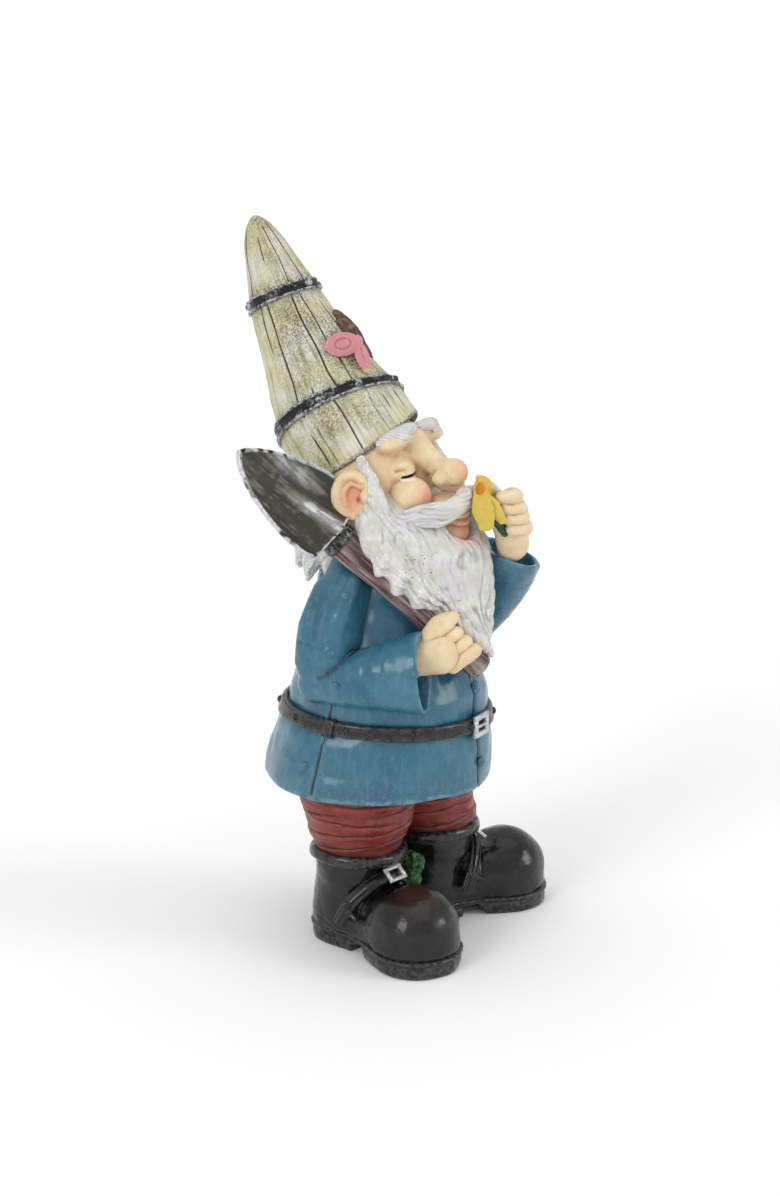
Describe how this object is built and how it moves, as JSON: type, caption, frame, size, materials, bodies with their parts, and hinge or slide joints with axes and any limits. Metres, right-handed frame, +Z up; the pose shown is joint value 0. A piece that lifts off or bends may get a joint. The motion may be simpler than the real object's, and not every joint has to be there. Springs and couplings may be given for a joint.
{
  "type": "garden gnome",
  "caption": "Painted cast garden gnome with a tall stave hat, a shovel over one shoulder and a flower held to its nose, standing on two big boots.",
  "frame": {"origin": "on the ground under the middle of the statue's bounding box", "axes": "+Z up, the longest extent; the gnome's front (belt buckle) faces -Y and its right hand is on -X"},
  "size_m": [0.2164, 0.2056, 0.48],
  "materials": {
    "hat_wood": "cream paint with a dark brown wash, cast as wooden staves",
    "iron": "near-black paint, silver dry-brushed edges",
    "bark": "dark brown paint",
    "bow_pink": "pink paint with lighter rims",
    "skin": "warm skin paint, satin, with a blush",
    "hair": "off-white paint with a grey wash",
    "coat_blue": "teal blue paint, semi-gloss, worn and rubbed",
    "belt_leather": "black paint, semi-gloss",
    "buckle_silver": "silver paint",
    "gunmetal": "gunmetal paint, silver dry-brushed rim",
    "handle_wood": "purple-brown paint with pale wood grain",
    "flower_yellow": "yellow paint, orange throat",
    "stem_green": "dark green paint",
    "trouser_red": "brick red paint with dark creases",
    "boot_black": "black paint, glossy",
    "moss_green": "green paint, rough"
  },
  "bodies": {
    "root": {"hat": "hat_wood", "hat_band_upper": "iron", "hat_band_lower": "iron", "hat_knot": "bark", "hat_bow": "bow_pink", "head": "skin", "nose": "skin", "ear_right": "skin", "eyebrow_right": "hair", "ear_left": "skin", "eyebrow_left": "hair", "moustache": "hair", "beard": "hair", "hair_back": "hair", "coat": "coat_blue", "belt": "belt_leather", "belt_buckle": "buckle_silver", "sleeve_right": "coat_blue", "hand_right": "skin", "sleeve_left": "coat_blue", "hand_left": "skin", "shovel_blade": "gunmetal", "shovel_handle": "handle_wood", "flower_bloom": "flower_yellow", "flower_stem": "stem_green", "leg_right": "trouser_red", "boot_collar_right": "boot_black", "boot_right": "boot_black", "boot_strap_right": "boot_black", "boot_buckle_right": "buckle_silver", "sole_right": "boot_black", "heel_right": "boot_black", "leg_left": "trouser_red", "boot_collar_left": "boot_black", "boot_left": "boot_black", "boot_strap_left": "boot_black", "boot_buckle_left": "buckle_silver", "sole_left": "boot_black", "heel_left": "boot_black", "moss_tuft": "moss_green", "button_front_hem": "coat_blue", "button_front_chest": "coat_blue", "button_side_right": "coat_blue", "button_side_left": "coat_blue"}
  },
  "joints": []
}
